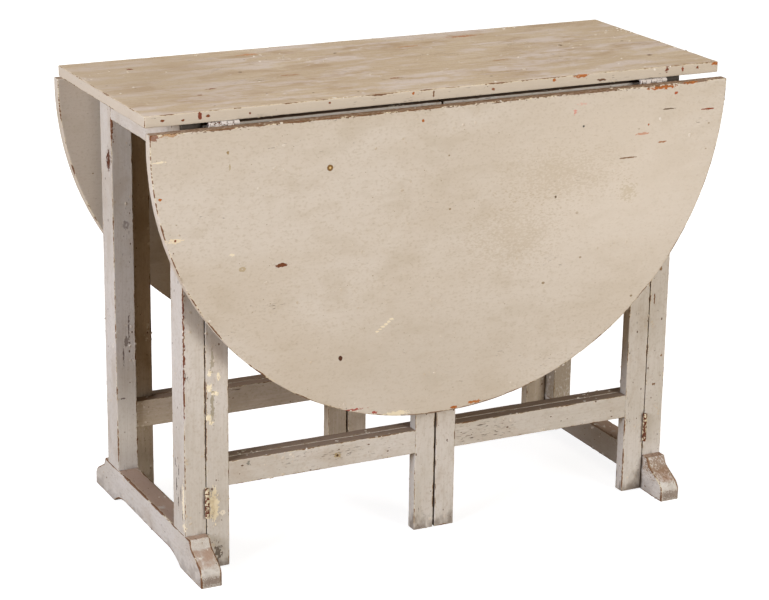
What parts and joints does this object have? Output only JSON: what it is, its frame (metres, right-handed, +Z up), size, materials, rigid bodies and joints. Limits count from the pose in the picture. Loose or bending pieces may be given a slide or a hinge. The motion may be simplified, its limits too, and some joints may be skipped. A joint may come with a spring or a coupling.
{
  "type": "drop leaf table",
  "caption": "Narrow rectangular table on sledge feet with a D-shaped leaf hanging from each long edge and swinging gates that fold flat against the frame to hold the leaves up.",
  "frame": {"origin": "on the floor, under the middle of the board", "axes": "+X along the board to the right, +Y to the back, +Z up"},
  "size_m": [1.0035, 0.478, 0.745],
  "materials": {
    "worn_top_paint": "old putty paint worn through to brown wood",
    "leaf_paint": "old putty paint, brushed",
    "frame_paint": "old putty paint, chipped on the arrises",
    "gate_paint": "old putty paint, chipped on the arrises",
    "bare_pine": "bare softwood, aged",
    "painted_hinge_iron": "painted over, rust at the knuckles",
    "hinge_pin_iron": "rusty",
    "iron_screws": "rusty, painted over"
  },
  "bodies": {
    "frame": {"board_hinge_screws": "iron_screws", "front_apron": "bare_pine", "front_leaf_hinge_board_plates": "painted_hinge_iron", "front_leaf_hinge_pins": "hinge_pin_iron", "front_stretcher": "frame_paint", "gate_post_hinge_screws": "iron_screws", "left_end_rail": "frame_paint", "left_foot": "frame_paint", "left_front_gate_pins": "hinge_pin_iron", "left_front_gate_post_plates": "painted_hinge_iron", "left_front_post": "frame_paint", "left_rear_gate_pins": "hinge_pin_iron", "left_rear_gate_post_plates": "painted_hinge_iron", "left_rear_post": "frame_paint", "rear_apron": "bare_pine", "rear_leaf_hinge_board_plates": "painted_hinge_iron", "rear_leaf_hinge_pins": "hinge_pin_iron", "rear_stretcher": "frame_paint", "right_end_rail": "frame_paint", "right_foot": "frame_paint", "right_front_gate_pins": "hinge_pin_iron", "right_front_gate_post_plates": "painted_hinge_iron", "right_front_post": "frame_paint", "right_rear_gate_pins": "hinge_pin_iron", "right_rear_gate_post_plates": "painted_hinge_iron", "right_rear_post": "frame_paint", "top_blocks": "bare_pine", "top_board": "worn_top_paint", "top_screws": "iron_screws"},
    "front_leaf_body": {"front_leaf": "leaf_paint", "front_leaf_hinge_plates": "painted_hinge_iron", "front_leaf_screws": "iron_screws"},
    "rear_leaf_body": {"rear_leaf": "leaf_paint", "rear_leaf_hinge_plates": "painted_hinge_iron", "rear_leaf_screws": "iron_screws"},
    "left_front_gate_body": {"left_front_gate_hinge_plates": "painted_hinge_iron", "left_front_gate_hinge_post": "gate_paint", "left_front_gate_leg": "gate_paint", "left_front_gate_lower_rail": "gate_paint", "left_front_gate_screws": "iron_screws", "left_front_gate_upper_rail": "gate_paint"},
    "left_rear_gate_body": {"left_rear_gate_hinge_plates": "painted_hinge_iron", "left_rear_gate_hinge_post": "gate_paint", "left_rear_gate_leg": "gate_paint", "left_rear_gate_lower_rail": "gate_paint", "left_rear_gate_screws": "iron_screws", "left_rear_gate_upper_rail": "gate_paint"},
    "right_front_gate_body": {"right_front_gate_hinge_plates": "painted_hinge_iron", "right_front_gate_hinge_post": "gate_paint", "right_front_gate_leg": "gate_paint", "right_front_gate_lower_rail": "gate_paint", "right_front_gate_screws": "iron_screws", "right_front_gate_upper_rail": "gate_paint"},
    "right_rear_gate_body": {"right_rear_gate_hinge_plates": "painted_hinge_iron", "right_rear_gate_hinge_post": "gate_paint", "right_rear_gate_leg": "gate_paint", "right_rear_gate_lower_rail": "gate_paint", "right_rear_gate_screws": "iron_screws", "right_rear_gate_upper_rail": "gate_paint"}
  },
  "joints": [
    {"name": "front_leaf_hinge", "type": "hinge", "parent": "frame", "child": "front_leaf_body", "pos_m": [0, -0.1935, 0.7232], "axis": [-1, 0, 0], "range_deg": [0, 90]},
    {"name": "rear_leaf_hinge", "type": "hinge", "parent": "frame", "child": "rear_leaf_body", "pos_m": [0, 0.1935, 0.7232], "axis": [1, 0, 0], "range_deg": [0, 90]},
    {"name": "left_front_gate_hinge", "type": "hinge", "parent": "frame", "child": "left_front_gate_body", "pos_m": [-0.4019, -0.1793, 0.115], "axis": [0, 0, -1], "range_deg": [0, 65]},
    {"name": "left_rear_gate_hinge", "type": "hinge", "parent": "frame", "child": "left_rear_gate_body", "pos_m": [-0.4019, 0.1793, 0.115], "axis": [0, 0, 1], "range_deg": [0, 65]},
    {"name": "right_front_gate_hinge", "type": "hinge", "parent": "frame", "child": "right_front_gate_body", "pos_m": [0.4019, -0.1793, 0.115], "axis": [0, 0, 1], "range_deg": [0, 65]},
    {"name": "right_rear_gate_hinge", "type": "hinge", "parent": "frame", "child": "right_rear_gate_body", "pos_m": [0.4019, 0.1793, 0.115], "axis": [0, 0, -1], "range_deg": [0, 65]}
  ],
  "couplings": [
    {"joint": "left_front_gate_hinge", "follows": "front_leaf_hinge", "ratio": 0.071429},
    {"joint": "left_rear_gate_hinge", "follows": "rear_leaf_hinge", "ratio": 0.071429},
    {"joint": "right_front_gate_hinge", "follows": "front_leaf_hinge", "ratio": 0.071429},
    {"joint": "right_rear_gate_hinge", "follows": "rear_leaf_hinge", "ratio": 0.071429}
  ]
}
